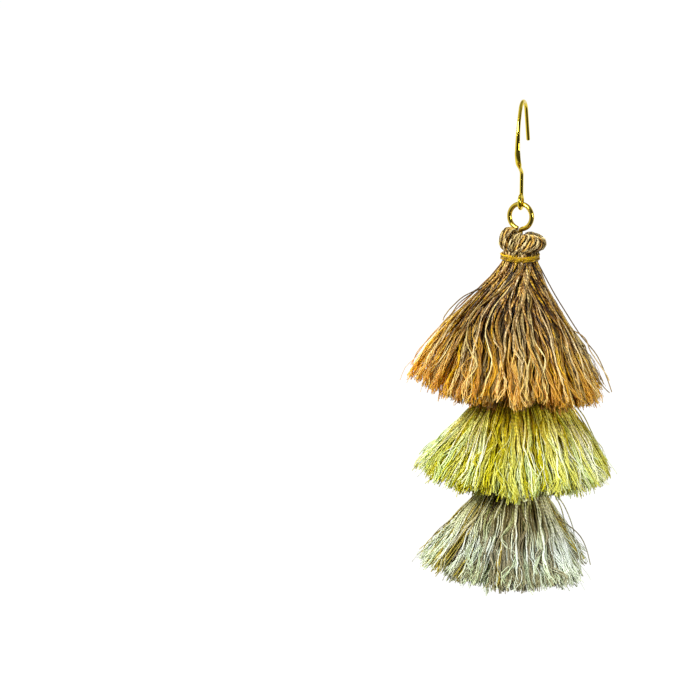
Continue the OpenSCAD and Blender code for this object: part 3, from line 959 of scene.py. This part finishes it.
# %% The silk group
# How far hues differ, silk's least roughness, and what the dye adds to that
HUE_CHANCE, SMOOTHEST, ROUGHER = 0.02, 0.2, 0.2
SOCKETS = (
    ("INPUT", "NodeSocketColor", ("Cool", "Main", "Warm", "Pale", "Root", "Tip")),
    ("INPUT", "NodeSocketFloat", ("Darkest", "Root End")),
    ("OUTPUT", "NodeSocketColor", ("Color",)),
    ("OUTPUT", "NodeSocketFloat", ("Roughness",)),
)


def silk_group():
    """Colour and roughness of a silk thread, from its place in the UV map."""
    tree = bpy.data.node_groups.new("silk_color", "ShaderNodeTree")
    for side, kind, names in SOCKETS:
        for name in names:
            tree.interface.new_socket(name, in_out=side, socket_type=kind)
    given, out = tree.nodes.new("NodeGroupInput"), tree.nodes.new("NodeGroupOutput")
    own_band, shade, light, across, along = read_map(tree)
    past_root = calc("SUBTRACT", given.outputs["Root End"], along)
    root = ramp(past_root, 0, ROOT_FADE)
    chance = tree.nodes.new("ShaderNodeTexWhiteNoise")
    chance.noise_dimensions = "1D"
    tree.links.new(own_band, chance.inputs["W"])
    chance, dye = chance.outputs["Value"], dye_patches(tree, own_band, along)
    color = thread_color(tree, given, shade, light, root, along)
    value = thread_value(given.outputs["Darkest"], light, chance, dye, root, across, along)
    hue = calc("MULTIPLY_ADD", chance, HUE_CHANCE, 0.5 - HUE_CHANCE / 2)
    adjust = tree.nodes.new("ShaderNodeHueSaturation")
    for key, source in (("Color", color), ("Value", value), ("Hue", hue)):
        tree.links.new(source, adjust.inputs[key])
    tree.links.new(adjust.outputs[0], out.inputs["Color"])
    tree.links.new(calc("MULTIPLY_ADD", dye, ROUGHER, SMOOTHEST), out.inputs["Roughness"])
    return tree


SILK = silk_group()
print("the silk group has", len(SILK.nodes), "nodes")

# %% Silks
WARM_GLEAM = (1, 0.82, 0.6, 1)
SHEEN, SHEEN_ROUGH = 0.05, 0.4


def new_material(name):
    """A material with its tree and its shader."""
    material = bpy.data.materials.new(name)
    material.use_nodes = True
    return material, material.node_tree, material.node_tree.nodes["Principled BSDF"]


def silk(name, darkest, root_end, **colors):
    """Silk in four shades, with a tint for the neck and one for the cut ends."""
    material, tree, shader = new_material(name)
    group = tree.nodes.new("ShaderNodeGroup")
    group.node_tree = SILK
    put_in(group, {key: (*linear(*color), 1) for key, color in colors.items()})
    put_in(group, {"Darkest": darkest, "Root End": root_end})
    tree.links.new(group.outputs["Color"], shader.inputs["Base Color"])
    tree.links.new(group.outputs["Roughness"], shader.inputs["Roughness"])
    put_in(shader, {"Specular Tint": WARM_GLEAM, "Sheen Weight": SHEEN, "Sheen Roughness": SHEEN_ROUGH})
    return material


silks = {
    "top": silk(
        "caramel_silk", 0.06, 0.8, Cool=(188, 163, 102), Main=(240, 196, 94), Warm=(246, 202, 38),
        Pale=(252, 230, 166), Root=(178, 164, 138), Tip=(253, 244, 210),
    ),
    "middle": silk(
        "lime_silk", 0.84, 0.85, Cool=(218, 229, 176), Main=(224, 224, 124), Warm=(206, 200, 16),
        Pale=(242, 246, 222), Root=(238, 216, 80), Tip=(240, 240, 215),
    ),
    "bottom": silk(
        "silver_silk", 0.74, 0.85, Cool=(174, 170, 146), Main=(222, 232, 210), Warm=(200, 186, 92),
        Pale=(244, 252, 246), Root=(238, 227, 180), Tip=(240, 240, 224),
    ),
}
gold_silk = silk(
    "gold_silk", 0.3, 0, Cool=(215, 180, 40), Main=(248, 218, 40), Warm=(245, 215, 70),
    Pale=(250, 235, 120), Root=(255, 255, 255), Tip=(255, 255, 255),
)
print(len(silks), "silks for the tassels, and one for the bindings")

# %% [markdown]
# ## Polished wire
# Both wires are polished and plated, so they mostly show the room. A metal of one colour would look
# like plastic, so soft patches turn it a little darker and duller in places, as plating and handling
# do. The patches lie in Object coordinates, in metres, so one scale fits both wires.

# %% Metal
PATCHES = 700
PATCH_ROUGH, PATCH_BUMP, PATCH_HEIGHT = 0.08, 0.1, 0.00001


def metal(name, color, dark, roughness):
    """A polished metal with patches of a darker colour."""
    material, tree, shader = new_material(name)
    put_in(shader, {"Metallic": 1})
    place = tree.nodes.new("ShaderNodeTexCoord")
    patches = tree.nodes.new("ShaderNodeTexNoise")
    put_in(patches, {"Scale": PATCHES})
    tree.links.new(place.outputs["Object"], patches.inputs["Vector"])
    patch = patches.outputs["Fac"]
    tree.links.new(mix(patch, linear(*color), linear(*dark)), shader.inputs["Base Color"])
    dull = calc("MULTIPLY_ADD", patch, PATCH_ROUGH, roughness)
    tree.links.new(dull, shader.inputs["Roughness"])
    bump = tree.nodes.new("ShaderNodeBump")
    put_in(bump, {"Strength": PATCH_BUMP, "Distance": PATCH_HEIGHT})
    tree.links.new(patch, bump.inputs["Height"])
    tree.links.new(bump.outputs[0], shader.inputs["Normal"])
    return material


hook_metal = metal("polished_gold", (236, 214, 70), (214, 186, 48), 0.05)
eye_metal = metal("antique_gold", (222, 196, 76), (186, 156, 50), 0.14)
for node, material in (("ear_hook", hook_metal), ("eye_pin", eye_metal)):
    nodes[node].material_slots[0].material = material
    print(node, "is", material.name)

# %% [markdown]
# ## Join the pieces to the model
# Every piece moves with a body of the model and stands in for one of its plain solids. The drop swings as
# one in the hook's loop, and its threads don't bend as it swings, because the model knows each tassel as
# one firm bundle.

# %% Join the pieces to the model
for name in TIERS:
    for piece in (*skirts[name], heads[name]):
        piece.data.materials.append(silks[name])
        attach(piece, "drop")
        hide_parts("tassel_" + name)
    bindings[name].data.materials.append(gold_silk)
    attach(bindings[name], "drop")
    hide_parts("binding_" + name)
    print("the", name, "tassel has", len(skirts[name]) + 2, "pieces")

# %% [markdown]
# ## Stage and light
# The photograph shows the earring on plain white. A round bowl of pale paper does that from every
# side. It glows, so it looks white to the camera whatever light falls on it. For the threads it is
# bright on one side and nearly dark on the other, which gives them a lit and a shaded side. Mirrors
# see it bright all round but for a dark card in front, which draws dark lines along the wires.

# %% Paper
# The side that glows, and where across the bowl that grows
BRIGHT_SIDE, GLOW_FROM, GLOW_FULL = (-0.85, 0.5, 0), -0.1, 0.6
BRIGHT, DARK = 1.0, 0.01
# The way to the dark card, and how far toward it mirrors see dark, and bright again
DARK_CARD, CARD_EDGE, CARD_CLEAR = (0.53, -0.85, 0), 0.4, -0.05
PAPER_COLOR, PAPER_ROUGH = (0.01, 0.01, 0.01, 1), 0.9


def part_toward(place, way):
    """How far a place lies in a direction."""
    part = add_node("ShaderNodeVectorMath", [place])
    part.operation = "DOT_PRODUCT"
    part.inputs[1].default_value = way
    place.id_data.links.new(place, part.inputs[0])
    return part.outputs["Value"]


paper, tree, shader = new_material("pale_paper")
put_in(shader, {"Base Color": PAPER_COLOR, "Roughness": PAPER_ROUGH})
place = tree.nodes.new("ShaderNodeTexCoord").outputs["Object"]
glow = ramp(part_toward(place, BRIGHT_SIDE), GLOW_FROM, GLOW_FULL, DARK, BRIGHT)
unit = tree.nodes.new("ShaderNodeVectorMath")
unit.operation = "NORMALIZE"
tree.links.new(place, unit.inputs[0])
past_card = ramp(part_toward(unit.outputs["Vector"], DARK_CARD), CARD_EDGE, CARD_CLEAR)
seen = tree.nodes.new("ShaderNodeLightPath")
mirrored = calc("MULTIPLY", seen.outputs["Is Glossy Ray"], past_card)
bright = calc("MAXIMUM", mirrored, seen.outputs["Is Camera Ray"])
tree.links.new(calc("MAXIMUM", glow, bright), shader.inputs["Emission Strength"])
print("paper glows from", DARK, "to", BRIGHT)

# %% Bowl
# In metres: the floor below the earring, its radius, the bend at its rim and the wall
FLOOR_DROP = 60 * MM
BOWL_R, BOWL_BEND, BOWL_H = 1.3, 0.5, 1.6
BEND_POINTS, BOWL_STEPS = 7, 64
bowl = bmesh.new()
floor_z = cad_low.z - FLOOR_DROP
bends = [math.radians(90 / (BEND_POINTS - 1) * k) for k in range(BEND_POINTS)]
rim = [bowl.verts.new((0, 0, floor_z))]
for a in bends:
    out, up = BOWL_BEND * math.sin(a), BOWL_BEND * (1 - math.cos(a))
    rim.append(bowl.verts.new((BOWL_R + out, 0, floor_z + up)))
rim.append(bowl.verts.new((BOWL_R + BOWL_BEND, 0, floor_z + BOWL_H)))
profile = [bowl.edges.new(pair) for pair in zip(rim, rim[1:])]
bmesh.ops.spin(
    bowl, geom=rim + profile, cent=(0, 0, 0), axis=(0, 0, 1), angle=2 * math.pi, steps=BOWL_STEPS,
    use_merge=True,
)
bmesh.ops.remove_doubles(bowl, verts=bowl.verts, dist=1e-6)
bmesh.ops.recalc_face_normals(bowl, faces=bowl.faces)
for face in bowl.faces:
    face.smooth = True
bowl_mesh = bpy.data.meshes.new("bowl")
bowl.to_mesh(bowl_mesh)
bowl.free()
bowl_mesh.materials.append(paper)
stage = bpy.data.objects.new("bowl", bowl_mesh)
scene.collection.objects.link(stage)
print("the bowl has", len(bowl_mesh.polygons), "faces")

# %% [markdown]
# ## Lights
# Three soft round lights stand in for the studio's lamps: a strong one high at the left, one low at the
# right and one behind, which keep the edges from going dull. The last one puts no glint on the wires.

# %% Lights
# Name, azimuth and elevation in degrees, metres away and across, watts, and whether mirrors see it
LIGHTS = (
    ("key", -22, 32, 0.8, 0.3, 7.5, True),
    ("right", 62, 8, 0.8, 0.25, 3.9, True),
    ("left_back", -110, 35, 0.8, 0.3, 1.5, False),
)
LIT = Vector((0, 0, -0.05))
ROOM_LIGHT, ROOM_COLOR = 0.34, (1, 1, 1, 1)

for name, azimuth, elevation, away, size, power, mirrored in LIGHTS:
    back = direction(azimuth, elevation)
    light = bpy.data.objects.new(name, bpy.data.lights.new(name, "AREA"))
    light.data.shape = "DISK"
    light.data.size = size
    light.data.energy = power
    light.location = LIT + back * away
    light.visible_glossy = mirrored
    turn_to_face(light, back)
    scene.collection.objects.link(light)
world = bpy.data.worlds.new("studio")
scene.world = world
world.use_nodes = True
put_in(world.node_tree.nodes["Background"], {"Color": ROOM_COLOR, "Strength": ROOM_LIGHT})
scene.view_settings.view_transform = "Standard"
print(len(LIGHTS), "lights of", sum(row[5] for row in LIGHTS), "W")
